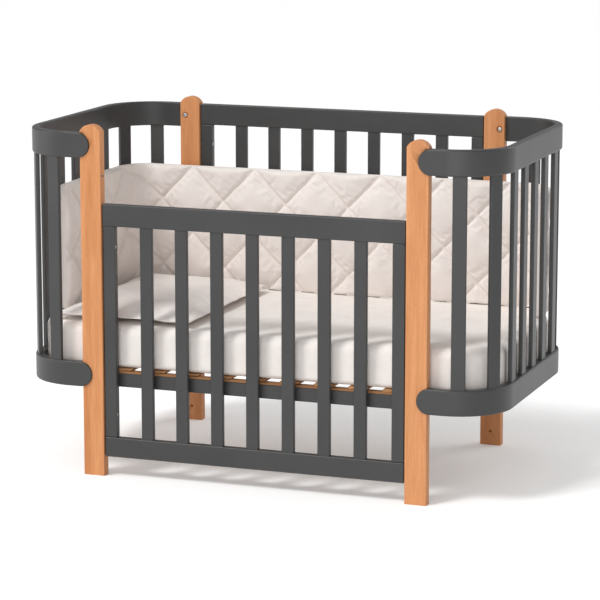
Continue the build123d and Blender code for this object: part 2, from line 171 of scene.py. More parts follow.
# %% Beech, with its grain along a chosen direction
def wood(name, along, pale, deep, fleck, roughness):
    """Planed wood. along is the direction of the grain, as X, Y or Z."""
    material, tree, shader = start_material(name)
    place = add(tree, "ShaderNodeTexCoord").outputs["Object"]

    def stretched(across, down):
        scale = {"X": (down, across, across), "Y": (across, down, across)}
        return scale.get(along, (across, across, down))

    def grain(across, down, detail, warp):
        scale = stretched(across, down)
        squeezed = add(tree, "ShaderNodeMapping", {"Vector": place, "Scale": scale}).outputs[0]
        return noise_field(tree, squeezed, 1.0, Detail=detail, Roughness=0.55, Distortion=warp)

    # Broad streaks 25 mm across and 400 mm long, fine ones 2.5 mm across and 60 mm long
    broad = grain(40, 2.5, 3, 0.6)
    fine = grain(400, 16, 4, 0.2)
    tone = colour_ramp(tree, blended(tree, 0.3, broad, fine), deep, pale, 0.32, 0.62)
    # Rays: cells 0.9 mm across and 7 mm long; only the heart of each is dark
    cells = add(tree, "ShaderNodeMapping", {"Vector": place, "Scale": stretched(1100, 140)})
    spots = add(tree, "ShaderNodeTexVoronoi", {"Vector": cells.outputs[0], "Scale": 1.0})
    hearts = add(
        tree,
        "ShaderNodeMapRange",
        {
            "Value": spots.outputs["Distance"],
            "From Min": 0.12,
            "From Max": 0.3,
            "To Min": 0.55,
            "To Max": 0.0,
        },
    )
    colour = add(
        tree,
        "ShaderNodeMix",
        {0: hearts.outputs[0], 6: tone, 7: linear(fleck)},
        data_type="RGBA",
    )
    look = {
        "Base Color": colour.outputs[2],
        "Roughness": value_span(tree, fine, roughness - 0.06, roughness + 0.08),
        "Normal": bump(tree, fine, 0.25, 0.00015),
        "IOR": 1.5,
        "Specular IOR Level": 0.4,
    }
    feed(tree, shader, look)
    return material


beech = wood("oiled_beech", "Z", "#DB9A67", "#BF7A48", "#9E6138", 0.5)
ply = wood("birch_board", "Y", "#B98A5E", "#8D6239", "#6E4726", 0.7)
batten_pine = wood("brown_batten", "X", "#9A6E47", "#6F4A2B", "#4F331C", 0.7)
print("woods:", beech.name, ply.name, batten_pine.name)

# %% [markdown]
# ## Graphite paint
# Rails, slats and stiles are sprayed with a satin water-based enamel. It hides the grain, but
# lies a little uneven, like fine orange peel with bumps about 1.5 mm apart, and it is a shade
# darker or lighter over a hand's width. The film is glossy enough to mirror a window softly.

# %% Graphite satin paint
graphite, tree, shader = start_material("graphite_satin_paint")
place = add(tree, "ShaderNodeTexCoord").outputs["Object"]
drift = noise_field(tree, place, 7.0, Detail=2.0)
peel = noise_field(tree, place, 650.0, Detail=1.0)
grain_place = add(tree, "ShaderNodeMapping", {"Vector": place, "Scale": (90, 90, 5)}).outputs[0]
grain_ghost = noise_field(tree, grain_place, 1.0, Detail=3.0)
film = blended(tree, 0.3, peel, grain_ghost)
look = {
    "Base Color": colour_ramp(tree, drift, "#363636", "#3C3C3C", 0.3, 0.7),
    "Roughness": value_span(tree, drift, 0.36, 0.46),
    "Normal": bump(tree, film, 0.16, 0.0003),
    "IOR": 1.5,
}
feed(tree, shader, look)
print("paint:", graphite.name)

# %% [markdown]
# ## Zinc-plated steel
# The bolts are steel with a bright zinc coat. It is a metal, so its colour is the colour of
# its reflection; fine scratches from tumbling in the bath vary the roughness.

# %% Zinc-plated steel
zinc, tree, shader = start_material("zinc_plated_steel")
place = add(tree, "ShaderNodeTexCoord").outputs["Object"]
scuffs = noise_field(tree, place, 1200.0, Detail=3.0)
look = {
    "Base Color": colour_ramp(tree, scuffs, "#B4B6B8", "#D9DADB"),
    "Roughness": value_span(tree, scuffs, 0.2, 0.42),
    "Metallic": 1.0,
}
feed(tree, shader, look)
print("metal:", zinc.name)

# %% [markdown]
# ## Cream cotton
# Sheet, bumper and pillow are plain-woven cotton. The threads lie about 0.4 mm apart, which is
# finer than a pixel of the picture, so the weave is drawn at 1.5 mm. Each piece has a UV map
# in metres, so that warp and weft follow the cloth round corners. A little sheen stands for
# the fuzz that brightens cloth seen at a grazing angle.


# %% Plain-woven cotton
def cotton(name, pale, deep, spacing=1.5 * MM, relief_depth=0.0002):
    material, tree, shader = start_material(name)
    uv = add(tree, "ShaderNodeUVMap", uv_map="cloth").outputs[0]
    threads = []
    for direction in ("X", "Y"):
        bands = add(
            tree,
            "ShaderNodeTexWave",
            # A band repeats every 2 pi / 20 of scaled distance
            {"Vector": uv, "Scale": math.pi / 10 / spacing, "Distortion": 0.6, "Detail": 1.0},
            wave_type="BANDS",
            bands_direction=direction,
        )
        threads.append(bands.outputs["Fac"])
    weave = larger(tree, *threads)
    place = add(tree, "ShaderNodeTexCoord").outputs["Object"]
    slub = noise_field(tree, place, 26.0, Detail=5.0, Roughness=0.6)
    look = {
        "Base Color": colour_ramp(tree, blended(tree, 0.22, slub, weave), deep, pale, 0.3, 0.65),
        "Normal": bump(tree, weave, 0.3, relief_depth),
        "Roughness": 0.9,
        "Sheen Weight": 0.15,
        "Sheen Roughness": 0.5,
        "IOR": 1.5,
        "Specular IOR Level": 0.2,
    }
    feed(tree, shader, look)
    return material


sheet_cotton = cotton("cream_sheet_cotton", "#F6F0EB", "#EFE7E1")
bumper_cotton = cotton("cream_quilted_cotton", "#EFE7E2", "#E8DFD9")
pillow_cotton = cotton("cream_pillow_cotton", "#F4EDE8", "#ECE3DE")
thread, tree, shader = start_material("cream_sewing_thread")
twist = noise_field(tree, add(tree, "ShaderNodeTexCoord").outputs["Object"], 900.0)
feed(tree, shader, {"Base Color": colour_ramp(tree, twist, "#D2C5BA", "#E2D7CD"), "Roughness": 0.7})
print("cloths:", sheet_cotton.name, bumper_cotton.name, pillow_cotton.name)

# %% [markdown]
# ## Posts and bent rails
# These members are right in the frame, but its meshes are loose triangles, which shade in
# flat facets. A merged copy of each, with smooth shading up to 35 degrees and weighted
# normals, lets the flats stay flat and the rounded edges run round.


# %% A helper that puts a finished member in the scene
def put(name, mesh, material, body, replaced=()):
    """Make an object of a mesh, give it its material, and let it ride on a body."""
    piece = bpy.data.objects.new(name, mesh)
    bpy.context.scene.collection.objects.link(piece)
    mesh.materials.clear()
    mesh.materials.append(material)
    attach(piece, body)
    if replaced:
        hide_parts(*replaced)
    return piece


def settled(piece):
    """The mesh of a piece with its modifiers worked in."""
    shape = piece.evaluated_get(bpy.context.evaluated_depsgraph_get())
    return bpy.data.meshes.new_from_object(shape)


def evened(mesh):
    """Smooth shading over rounded edges, with the flats kept flat."""
    mesh.shade_smooth()
    mesh.set_sharp_from_angle(angle=math.radians(35))
    dummy = bpy.data.objects.new("dummy", mesh)
    bpy.context.scene.collection.objects.link(dummy)
    weighted = dummy.modifiers.new("even_flats", "WEIGHTED_NORMAL")
    weighted.keep_sharp = True
    weighted.weight = 80
    result = settled(dummy)
    bpy.data.objects.remove(dummy)
    return result


def smoothed(node):
    """A merged copy of a frame member's mesh, smooth where its faces meet gently."""
    work = bmesh.new()
    work.from_mesh(nodes[node].data)
    bmesh.ops.remove_doubles(work, verts=work.verts, dist=1e-6)
    mesh = bpy.data.meshes.new(node)
    work.to_mesh(mesh)
    work.free()
    return evened(mesh)


ENDS = ("left", "right")
SIDES = ("front", "back")

# %% Posts, rails and stiles
for end in ENDS:
    for side in SIDES:
        post = f"post_{side}_{end}"
        put(f"beech_{post}", smoothed(post), beech, "frame", [post])
    for rail in ("lower", "top"):
        name = f"end_rail_{rail}_{end}"
        put(f"bent_{name}", smoothed(name), graphite, "frame", [name])
for side, body in (("front", "front_panel"), ("back", "frame")):
    for part in ("rail_top", "rail_bottom", "stile_left", "stile_right"):
        name = f"{side}_panel_{part}"
        put(f"painted_{name}", smoothed(name), graphite, body, [name])
put("painted_base_rails", smoothed("base_side_rails"), graphite, "frame", ["base_side_rails"])
put("brown_battens", smoothed("base_battens"), batten_pine, "frame", ["base_battens"])
put("cross_boards", smoothed("base_slats"), ply, "frame", ["base_slats"])
put("rounded_end_boards", smoothed("base_end_boards"), ply, "frame", ["base_end_boards"])
sleeves = nodes["bolt_sleeves"].data
sleeves.materials.clear()
sleeves.materials.append(zinc)
print("members dressed:", 4 + 4 + 8 + 4)

# %% [markdown]
# ## Slats
# Thirty-two of the crib's members are the same thing again and again: a flat slat with rounded
# edges, set at equal steps along a line. That is a job for Geometry Nodes. The tree takes a
# line, cuts a margin off both its ends, drops points on the rest and stands a slat on each,
# turned to the line's direction. One tree makes the curved ends and both panels.

# %% The slat tree
slat_tree = bpy.data.node_groups.new("slats_along_a_line", "GeometryNodeTree")
face = slat_tree.interface
face.new_socket("Line", in_out="INPUT", socket_type="NodeSocketGeometry")
for label, kind in (
    ("Count", "NodeSocketInt"),
    ("Margin", "NodeSocketFloat"),
    ("Width", "NodeSocketFloat"),
    ("Thickness", "NodeSocketFloat"),
    ("Height", "NodeSocketFloat"),
    ("Edge radius", "NodeSocketFloat"),
    ("Finish", "NodeSocketMaterial"),
):
    face.new_socket(label, in_out="INPUT", socket_type=kind)
face.new_socket("Slats", in_out="OUTPUT", socket_type="NodeSocketGeometry")

given = add(slat_tree, "NodeGroupInput").outputs
length = add(slat_tree, "GeometryNodeSplineLength").outputs["Length"]
stop = add(slat_tree, "ShaderNodeMath", {0: length, 1: given["Margin"]}, operation="SUBTRACT")
trimmed = add(
    slat_tree,
    "GeometryNodeTrimCurve",
    {"Curve": given["Line"], 4: given["Margin"], 5: stop.outputs[0]},
    mode="LENGTH",
)
stations = add(
    slat_tree,
    "GeometryNodeCurveToPoints",
    {"Curve": trimmed.outputs[0], "Count": given["Count"]},
    mode="COUNT",
)
heading = add(
    slat_tree,
    "FunctionNodeAlignRotationToVector",
    {"Vector": stations.outputs["Tangent"]},
    axis="X",
    pivot_axis="Z",
)
outline = add(
    slat_tree,
    "GeometryNodeCurvePrimitiveQuadrilateral",
    {"Width": given["Width"], "Height": given["Thickness"]},
)
rounded = add(
    slat_tree,
    "GeometryNodeFilletCurve",
    {"Curve": outline.outputs[0], "Radius": given["Edge radius"], "Count": 5},
    mode="POLY",
)
foot = add(slat_tree, "GeometryNodeFillCurve", {"Curve": rounded.outputs[0]}, mode="NGONS")
rise = add(slat_tree, "ShaderNodeCombineXYZ", {"Z": 1.0})
prism = add(
    slat_tree,
    "GeometryNodeExtrudeMesh",
    {
        "Mesh": foot.outputs[0],
        "Offset": rise.outputs[0],
        "Offset Scale": given["Height"],
        "Individual": False,
    },
    mode="FACES",
)
sole = add(slat_tree, "GeometryNodeFlipFaces", {"Mesh": foot.outputs[0]})
both = add(slat_tree, "GeometryNodeJoinGeometry")
slat_tree.links.new(prism.outputs[0], both.inputs[0])
slat_tree.links.new(sole.outputs[0], both.inputs[0])
closed = add(
    slat_tree,
    "GeometryNodeMergeByDistance",
    {"Geometry": both.outputs[0], "Distance": 1e-5},
)
stood = add(
    slat_tree,
    "GeometryNodeInstanceOnPoints",
    {
        "Points": stations.outputs["Points"],
        "Instance": closed.outputs[0],
        "Rotation": heading.outputs[0],
    },
)
real = add(slat_tree, "GeometryNodeRealizeInstances", {"Geometry": stood.outputs[0]})
finished = add(
    slat_tree,
    "GeometryNodeSetMaterial",
    {"Geometry": real.outputs[0], "Material": given["Finish"]},
)
add(slat_tree, "NodeGroupOutput", {0: finished.outputs[0]})
print("slat tree:", len(slat_tree.nodes), "nodes")


# %% Run a geometry tree and keep its mesh
def grown(start, tree, values):
    """Run a geometry tree on a start object and return the plain mesh that it makes."""
    step = start.modifiers.new(tree.name, "NODES")
    step.node_group = tree
    for item in tree.interface.items_tree:
        if item.item_type == "SOCKET" and item.in_out == "INPUT" and item.name in values:
            step[item.identifier] = values[item.name]
    mesh = settled(start)
    start.modifiers.remove(step)
    bpy.data.objects.remove(start)
    return mesh


def line_object(paths):
    """A curve object of straight-sided paths, each a list of points."""
    curve = bpy.data.curves.new("line", "CURVE")
    curve.dimensions = "3D"
    for path in paths:
        spline = curve.splines.new("POLY")
        spline.points.add(len(path) - 1)
        for point, place in zip(spline.points, path):
            point.co = (*place, 1.0)
    start = bpy.data.objects.new("line", curve)
    bpy.context.scene.collection.objects.link(start)
    return start


# %% End slats, along the mid-line of the bent rails
def end_line(end, level, steps=48):
    """The mid-line of an end rail from one post to the other, at a height."""
    bend_x = END_OUTER - RAIL_CORNER
    bend_y = DEPTH_OUTER - RAIL_CORNER
    turn = [math.pi / 2 * i / steps for i in range(steps + 1)]
    back = [(bend_x + LINE_RADIUS * math.cos(a), bend_y + LINE_RADIUS * math.sin(a)) for a in turn]
    back.append((POST_OUTER, DEPTH_OUTER - RAIL_THICK / 2))
    front = [(x, -y) for x, y in reversed(back)]
    sign = -1 if end == "left" else 1
    return [(sign * x, y, level) for x, y in front + back]


foot_level = high("end_rail_lower_left").z
end_slat = {
    "Count": 9,
    "Margin": 74.6 * MM,
    "Width": 35 * MM,
    "Thickness": 11 * MM,
    "Height": low("end_rail_top_left").z - foot_level,
    "Edge radius": SLAT_EDGE,
    "Finish": graphite,
}
for end in ENDS:
    mesh = evened(grown(line_object([end_line(end, foot_level)]), slat_tree, end_slat))
    put(
        f"slats_{end}_end",
        mesh,
        graphite,
        "frame",
        [f"end_slat_{end}_{count}" for count in range(1, 10)],
    )
    print(end, "end slats:", len(mesh.polygons), "faces")

# %% Panel slats, along a straight line between the stiles
for side, body in (("front", "front_panel"), ("back", "frame")):
    first = (low(f"{side}_panel_slat_1") + high(f"{side}_panel_slat_1")) / 2
    last = (low(f"{side}_panel_slat_7") + high(f"{side}_panel_slat_7")) / 2
    foot_level = high(f"{side}_panel_rail_bottom").z
    values = {
        "Count": 7,
        "Margin": 0.0,
        "Width": 32 * MM,
        "Thickness": 14 * MM,
        "Height": low(f"{side}_panel_rail_top").z - foot_level,
        "Edge radius": SLAT_EDGE,
        "Finish": graphite,
    }
    path = [(first.x, first.y, foot_level), (last.x, last.y, foot_level)]
    mesh = evened(grown(line_object([path]), slat_tree, values))
    put(
        f"slats_{side}_panel",
        mesh,
        graphite,
        body,
        [f"{side}_panel_slat_{count}" for count in range(1, 8)],
    )
    print(side, "panel slats:", len(mesh.polygons), "faces")

# %% [markdown]
# ## Bolts
# Twenty bolts hold the crib, each with a low round head and a cross drive. One head is turned
# from a profile and the cross is cut into it. A second tree sets it on points that know which
# way their bolt faces.


# %% One bolt, turned and cut
def bolt_mesh(reach):
    """A bolt whose head stands on z = 0 and whose shank reaches down."""
    profile = [(0, 3.3), (2.6, 3.25), (4.4, 2.9), (5.4, 2.1), (5.8, 1.1), (5.8, 0), (3.0, 0)]
    profile += [(3.0, -reach + 0.6), (2.4, -reach), (0, -reach)]
    work = bmesh.new()
    rings = []
    for radius, height in profile:
        if radius == 0:
            rings.append([work.verts.new((0, 0, height * MM))])
            continue
        ring = []
        for i in range(32):
            angle = 2 * math.pi * i / 32
            ring.append(
                work.verts.new(
                    (radius * MM * math.cos(angle), radius * MM * math.sin(angle), height * MM)
                )
            )
        rings.append(ring)
    for above, below in zip(rings, rings[1:]):
        for i in range(32):
            j = (i + 1) % 32
            if len(above) == 1:
                work.faces.new((above[0], below[i], below[j]))
            elif len(below) == 1:
                work.faces.new((above[i], below[0], above[j]))
            else:
                work.faces.new((above[i], below[i], below[j], above[j]))
    bmesh.ops.recalc_face_normals(work, faces=work.faces)
    head = bpy.data.meshes.new("bolt")
    work.to_mesh(head)
    work.free()
    return head


def with_cross(mesh):
    """The bolt with a cross drive cut 1.8 mm into its head."""
    body = bpy.data.objects.new("blank", mesh)
    bpy.context.scene.collection.objects.link(body)
    cutters = []
    for size in ((6.5, 1.4), (1.4, 6.5)):
        work = bmesh.new()
        bmesh.ops.create_cube(
            work, size=1, matrix=Matrix.Diagonal((size[0] * MM, size[1] * MM, 4 * MM, 1))
        )
        bmesh.ops.translate(work, verts=work.verts, vec=(0, 0, 3.5 * MM))
        cutter = bpy.data.meshes.new("cutter")
        work.to_mesh(cutter)
        work.free()
        tool = bpy.data.objects.new("cutter", cutter)
        bpy.context.scene.collection.objects.link(tool)
        cutters.append(tool)
        cut = body.modifiers.new("cross", "BOOLEAN")
        cut.operation = "DIFFERENCE"
        cut.object = tool
        cut.solver = "EXACT"
    result = settled(body)
    for item in [body] + cutters:
        bpy.data.objects.remove(item)
    return result


# %% The bolt tree
bolt_tree = bpy.data.node_groups.new("bolts_on_points", "GeometryNodeTree")
face = bolt_tree.interface
face.new_socket("Points", in_out="INPUT", socket_type="NodeSocketGeometry")
face.new_socket("Bolt", in_out="INPUT", socket_type="NodeSocketObject")
face.new_socket("Finish", in_out="INPUT", socket_type="NodeSocketMaterial")
face.new_socket("Bolts", in_out="OUTPUT", socket_type="NodeSocketGeometry")
given = add(bolt_tree, "NodeGroupInput").outputs
facing = add(
    bolt_tree, "GeometryNodeInputNamedAttribute", {"Name": "facing"}, data_type="FLOAT_VECTOR"
)
turned = add(
    bolt_tree,
    "FunctionNodeAlignRotationToVector",
    {"Vector": facing.outputs[0]},
    axis="Z",
)
one = add(bolt_tree, "GeometryNodeObjectInfo", {"Object": given["Bolt"]})
seated = add(
    bolt_tree,
    "GeometryNodeInstanceOnPoints",
    {"Points": given["Points"], "Instance": one.outputs["Geometry"], "Rotation": turned.outputs[0]},
)
real = add(bolt_tree, "GeometryNodeRealizeInstances", {"Geometry": seated.outputs[0]})
finished = add(
    bolt_tree,
    "GeometryNodeSetMaterial",
    {"Geometry": real.outputs[0], "Material": given["Finish"]},
)
add(bolt_tree, "NodeGroupOutput", {0: finished.outputs[0]})


def bolts(name, body, replaced, reach, seats):
    """Bolts of one length, on seats that each give a place and a facing direction."""
    blank = bpy.data.objects.new("one_bolt", with_cross(bolt_mesh(reach)))
    bpy.context.scene.collection.objects.link(blank)
    points = bpy.data.meshes.new("seats")
    points.from_pydata([place for place, _ in seats], [], [])
    attribute = points.attributes.new("facing", "FLOAT_VECTOR", "POINT")
    for item, (_, direction) in zip(attribute.data, seats):
        item.vector = direction
    start = bpy.data.objects.new("seats", points)
    bpy.context.scene.collection.objects.link(start)
    mesh = grown(start, bolt_tree, {"Bolt": blank, "Finish": zinc})
    bpy.data.objects.remove(blank)
    mesh.shade_smooth()
    mesh.set_sharp_from_angle(angle=math.radians(30))
    put(name, mesh, zinc, body, [replaced])
    print(name, len(seats), "bolts,", len(mesh.polygons), "faces")


# %% Seats of the bolts, read from the frame
def islands(node):
    """The lowest and highest corner of each separate solid in a frame node."""
    work = bmesh.new()
    work.from_mesh(nodes[node].data)
    bmesh.ops.remove_doubles(work, verts=work.verts, dist=1e-6)
    left, found = set(work.verts), []
    while left:
        group, edge = set(), [left.pop()]
        while edge:
            vert = edge.pop()
            group.add(vert)
            for link in vert.link_edges:
                other = link.other_vert(vert)
                if other in left:
                    left.remove(other)
                    edge.append(other)
        places = np.array([vert.co[:] for vert in group])
        found.append((places.min(0), places.max(0)))
    work.free()
    return found


HEAD_HEIGHT = 3.3 * MM


def seats_of(node, axis):
    """Seats of the bolts of a node. axis is 0 where they face along X and 1 along Y."""
    seats = []
    for lowest, highest in islands(node):
        middle = (lowest + highest) / 2
        # The head is at the end that is nearer to the middle of the crib
        sign = -1 if middle[axis] > 0 else 1
        place = middle.copy()
        place[axis] = (highest if sign > 0 else lowest)[axis] - sign * HEAD_HEIGHT
        direction = [0.0, 0.0, 0.0]
        direction[axis] = float(sign)
        seats.append((tuple(place), direction))
    return seats


for name, axis, body in (
    ("rail_bolts", 1, "frame"),
    ("base_bolts", 1, "frame"),
    ("back_panel_bolts", 0, "frame"),
    ("front_panel_bolts", 0, "front_panel"),
):
    lowest, highest = islands(name)[0]
    reach = float((highest - lowest)[axis]) / MM - HEAD_HEIGHT / MM
    bolts(f"zinc_{name}", body, name, reach, seats_of(name, axis))

# %% [markdown]
# ## Cloth over a rounded form
# Mattress, sheet, bumper and pillow are all rows of points round a form. One function turns
# such a grid into a mesh with a UV map in metres, measured along the cloth, for the weave.


# %% A grid of points as a mesh with its own UV map
def cloth_grid(name, grid, caps=(False, False)):
    """grid is rows x columns x 3. Each row closes on itself; a cap closes an end row."""
    rows, columns = grid.shape[:2]
    points = grid.reshape(-1, 3)
    faces = []
    for r in range(rows - 1):
        for c in range(columns):
            d = (c + 1) % columns
            s = r + 1
            faces.append((r * columns + c, r * columns + d, s * columns + d, s * columns + c))
    if caps[0]:
        faces.append(tuple(reversed(range(columns))))
    if caps[1]:
        faces.append(tuple(range((rows - 1) * columns, rows * columns)))
    mesh = bpy.data.meshes.new(name)
    mesh.from_pydata(points.tolist(), [], faces)
    around = np.zeros((rows, columns + 1))
    wrapped = np.concatenate([grid, grid[:, :1]], axis=1)
    around[:, 1:] = np.cumsum(np.linalg.norm(np.diff(wrapped, axis=1), axis=2), axis=1)
    along = np.zeros(rows)
    along[1:] = np.cumsum(np.linalg.norm(np.diff(grid, axis=0), axis=2).mean(1))
    uv = mesh.uv_layers.new(name="cloth").data
    for polygon in mesh.polygons:
        corners = [mesh.loops[i].vertex_index for i in polygon.loop_indices]
        if len(corners) != 4:
            for i, vertex in zip(polygon.loop_indices, corners):
                uv[i].uv = mesh.vertices[vertex].co.xy
            continue
        on_seam = {corner % columns for corner in corners} >= {0, columns - 1}
        for i, vertex in zip(polygon.loop_indices, corners):
            r, c = divmod(vertex, columns)
            u = around[r, columns] if on_seam and c == 0 else around[r, c]
            uv[i].uv = (u, along[r])
    mesh.shade_smooth()
    return mesh


def ripple(values, seed, lengths):
    """Smooth noise along a line: a sum of sines of given lengths with seeded phases."""
    rng = np.random.default_rng(seed)
    total = np.zeros_like(values)
    for length in lengths:
        total += np.sin(2 * np.pi * values / length + rng.uniform(0, 2 * np.pi))
    return total / len(lengths)


print("cloth helpers ready")

# %% [markdown]
# ## Mattress and fitted sheet
# The mattress is firm foam, 1200 by 600 mm, with round corners. The fitted sheet is pulled
# over it: flat on top, soft along the edges, with shallow upright folds down the sides, where
# the elastic under the mattress gathers it. Rings round the form, from the elastic up and
# inwards to the middle of the top, follow that shape.

# %% Rings round the mattress
bed_low, bed_high = low("mattress"), high("mattress")
BED_CORNER = 110 * MM
RING_POINTS = 480


def ring(inset, level, corner_least=6 * MM):
    """One ring of points round the mattress, as seen from above, drawn in by an inset."""
    half_x = bed_high.x - inset
    half_y = bed_high.y - inset
    radius = max(BED_CORNER - inset, min(corner_least, half_y))
    corner_points = 40
    quarter = [math.pi / 2 * i / (corner_points - 1) for i in range(corner_points)]
    straight = (RING_POINTS - 4 * corner_points) // 2
    along_x = int(straight * 0.66)
    along_y = straight - along_x
    path = []
    for sx, sy, start in ((1, -1, -90), (1, 1, 0), (-1, 1, 90), (-1, -1, 180)):
        cx, cy = sx * (half_x - radius), sy * (half_y - radius)
        for angle in quarter:
            turn = angle + math.radians(start)
            path.append((cx + radius * math.cos(turn), cy + radius * math.sin(turn)))
        ahead = {(1, -1): (1, 1), (1, 1): (-1, 1), (-1, 1): (-1, -1), (-1, -1): (1, -1)}[(sx, sy)]
        nx, ny = ahead[0] * (half_x - radius), ahead[1] * (half_y - radius)
        begin = path[-1]
        turn = math.radians(start + 90)
        finish = (nx + radius * math.cos(turn), ny + radius * math.sin(turn))
        count = along_y if sx == 1 and sy == -1 or sx == -1 and sy == 1 else along_x
        for i in range(1, count + 1):
            share = i / (count + 1)
            x = begin[0] + (finish[0] - begin[0]) * share
            y = begin[1] + (finish[1] - begin[1]) * share
            path.append((x, y))
    return np.array([(x, y, level) for x, y in path])


def rounded_rows(bottom_edge, top_edge, side_rows):
    """Insets and heights from the bottom edge, up the side and over the top edge."""
    rows = []
    for i in range(7):
        a = math.pi / 2 * i / 6
        rows.append((bottom_edge * (1 - math.sin(a)), bed_low.z + bottom_edge * (1 - math.cos(a))))
    first, last = bed_low.z + bottom_edge, bed_high.z - top_edge
    rows += [(0.0, first + (last - first) * i / side_rows) for i in range(1, side_rows)]
    for i in range(9):
        a = math.pi / 2 * i / 8
        rows.append((top_edge * (1 - math.cos(a)), bed_high.z - top_edge * (1 - math.sin(a))))
    return rows


# %% Foam mattress
foam_skin = 2.5 * MM
foam_rows = [(inset + foam_skin, level) for inset, level in rounded_rows(12 * MM, 24 * MM, 8)]
foam_rows = [(i, min(max(z, bed_low.z + 1 * MM), bed_high.z - foam_skin)) for i, z in foam_rows]
foam = np.array([ring(inset, level) for inset, level in foam_rows])
mattress = put(
    "foam_mattress",
    cloth_grid("foam_mattress", foam, caps=(True, True)),
    sheet_cotton,
    "mattress",
    ["mattress"],
)
print("mattress:", len(mattress.data.polygons), "faces")

# %% Fitted sheet
tuck = [
    (60 * MM, bed_low.z + 0.3 * MM),
    (36 * MM, bed_low.z + 0.4 * MM),
    (20 * MM, bed_low.z + 0.6 * MM),
]
TOP_RINGS = (6, 14, 26, 42, 62, 86, 114, 146, 182, 220, 252, 270)
sheet_rows = tuck + rounded_rows(12 * MM, 24 * MM, 16)
sheet_rows += [(24 * MM + d * MM, bed_high.z) for d in TOP_RINGS]
sheet = np.array([ring(inset, level) for inset, level in sheet_rows])
step = np.linalg.norm(np.diff(np.concatenate([sheet[8], sheet[8][:1]]), axis=0), axis=1)
round_bed = np.concatenate([[0], np.cumsum(step)[:-1]])
outward = sheet[8] - ring(20 * MM, 0)
outward[:, 2] = 0
outward /= np.linalg.norm(outward, axis=1)[:, None]
total = step.sum()
folds = ripple(round_bed, 5, [total / n for n in (31, 43, 57, 74)])
gathers = ripple(round_bed, 8, [total / n for n in (97, 131, 163)])
swell = ripple(round_bed, 11, [total / n for n in (7, 12, 19)])
for row, (inset, level) in enumerate(sheet_rows):
    climb = (level - bed_low.z) / (bed_high.z - bed_low.z)
    on_side = max(0.0, 1 - inset / (24 * MM)) if level < bed_high.z - 1 * MM else 0.0
    low_share = (1 - climb) ** 1.3
    push = on_side * (1.3 * folds * (0.35 + low_share) + 0.9 * gathers * low_share - 1.6)
    sheet[row] += outward * (push * MM)[:, None]
    if inset <= 24 * MM and climb > 0.6:
        sheet[row, :, 2] -= (0.5 + 0.5 * swell) * MM * (1 - inset / (24 * MM)) + 0.1 * MM
    elif climb > 0.6:
        fade = math.exp(-(((inset - 24 * MM) / (60 * MM)) ** 2))
        crease = ripple(round_bed, 17, [total / n for n in (9, 14, 23)])
        sheet[row, :, 2] -= 0.1 * MM + 0.6 * (1 + crease) * MM * (1 - fade)
    elif level < bed_low.z + 12 * MM:
        sheet[row, :, 2] += (1.4 + 1.4 * gathers * 0.7) * MM * on_side
fitted = put(
    "fitted_sheet",
    cloth_grid("fitted_sheet", sheet, caps=(False, True)),
    sheet_cotton,
    "mattress",
)
# The cloth is cut as the top with a drop of 175 mm all round: 107 mm down the side, 60 mm under
# the mattress and a hem. A square of that drop is cut away at each corner before sewing
print("sheet:", len(fitted.data.polygons), "faces")

# %% [markdown]
# ## Plumping cloth
# Wadding pushes the cover of a pillow or a bumper outwards, and the seams hold it back. Cloth
# with an inner pressure and no gravity does the same. Points on the seams are pinned, and how
# far any point may move is capped, so that the piece stays in its place.


# %% Plump a piece with cloth pressure
def plump(mesh, pins, pressure, frames, cap, stiffness=15.0, grow=0.0, bending=0.5):
    """Blow a closed cover up and return its new points. pins holds a weight for each point."""
    piece = bpy.data.objects.new("cover", mesh.copy())
    bpy.context.scene.collection.objects.link(piece)
    group = piece.vertex_groups.new(name="pins")
    for index, weight in enumerate(pins):
        if weight > 0.01:
            group.add([index], float(weight), "REPLACE")
    before = np.array([vertex.co[:] for vertex in mesh.vertices])
    cloth = piece.modifiers.new("cloth", "CLOTH")
    setup = cloth.settings
    setup.quality = 6
    setup.mass = 0.3
    setup.tension_stiffness = stiffness
    setup.compression_stiffness = stiffness
    setup.shear_stiffness = stiffness * 0.5
    setup.bending_stiffness = bending
    setup.use_pressure = True
    setup.uniform_pressure_force = pressure
    setup.shrink_min = -grow
    setup.vertex_group_mass = "pins"
    setup.pin_stiffness = 1.0
    setup.effector_weights.gravity = 0.0
    cloth.collision_settings.use_collision = False
    cloth.collision_settings.use_self_collision = False
    cloth.point_cache.frame_start = 1
    cloth.point_cache.frame_end = frames
    for number in range(1, frames + 1):
        bpy.context.scene.frame_set(number)
    made = settled(piece)
    after = np.array([vertex.co[:] for vertex in made.vertices])
    bpy.context.scene.frame_set(1)
    bpy.data.objects.remove(piece)
    move = after - before
    size = np.linalg.norm(move, axis=1)
    limit = cap * np.tanh(size / cap) / np.maximum(size, 1e-9)
    print("plumped: largest move", round(float(size.max()) / MM, 1), "mm, capped to", cap / MM)
    return before + move * limit[:, None]


# %% [markdown]
# ## Quilted bumper
# The bumper is a padded band along the left end, the back and a little of the right end. Its
# seams cross in diamonds 175 mm wide and high. The band's line runs along its outer side; a
# section of straight back, round edges and a crowned front is carried along it, and each point
# of the section is drawn in towards the band's middle as it comes near a seam.

# %% The bumper's line and section
b_low, b_high = low("bumper"), high("bumper")
B_CORNER = 95 * MM
B_THICK = 45 * MM
B_SIDE = 38 * MM
B_SHOULDER = 20 * MM
B_HEIGHT = b_high.z - b_low.z
bend_x = b_high.x - B_CORNER
bend_y = b_high.y - B_CORNER
left_run = bend_y - b_low.y
right_run = bend_y - 150 * MM
inner_arc = (B_CORNER - B_THICK) * math.pi / 2
SEAM_LEVEL = SOFT_LEVEL + 227.4 * MM


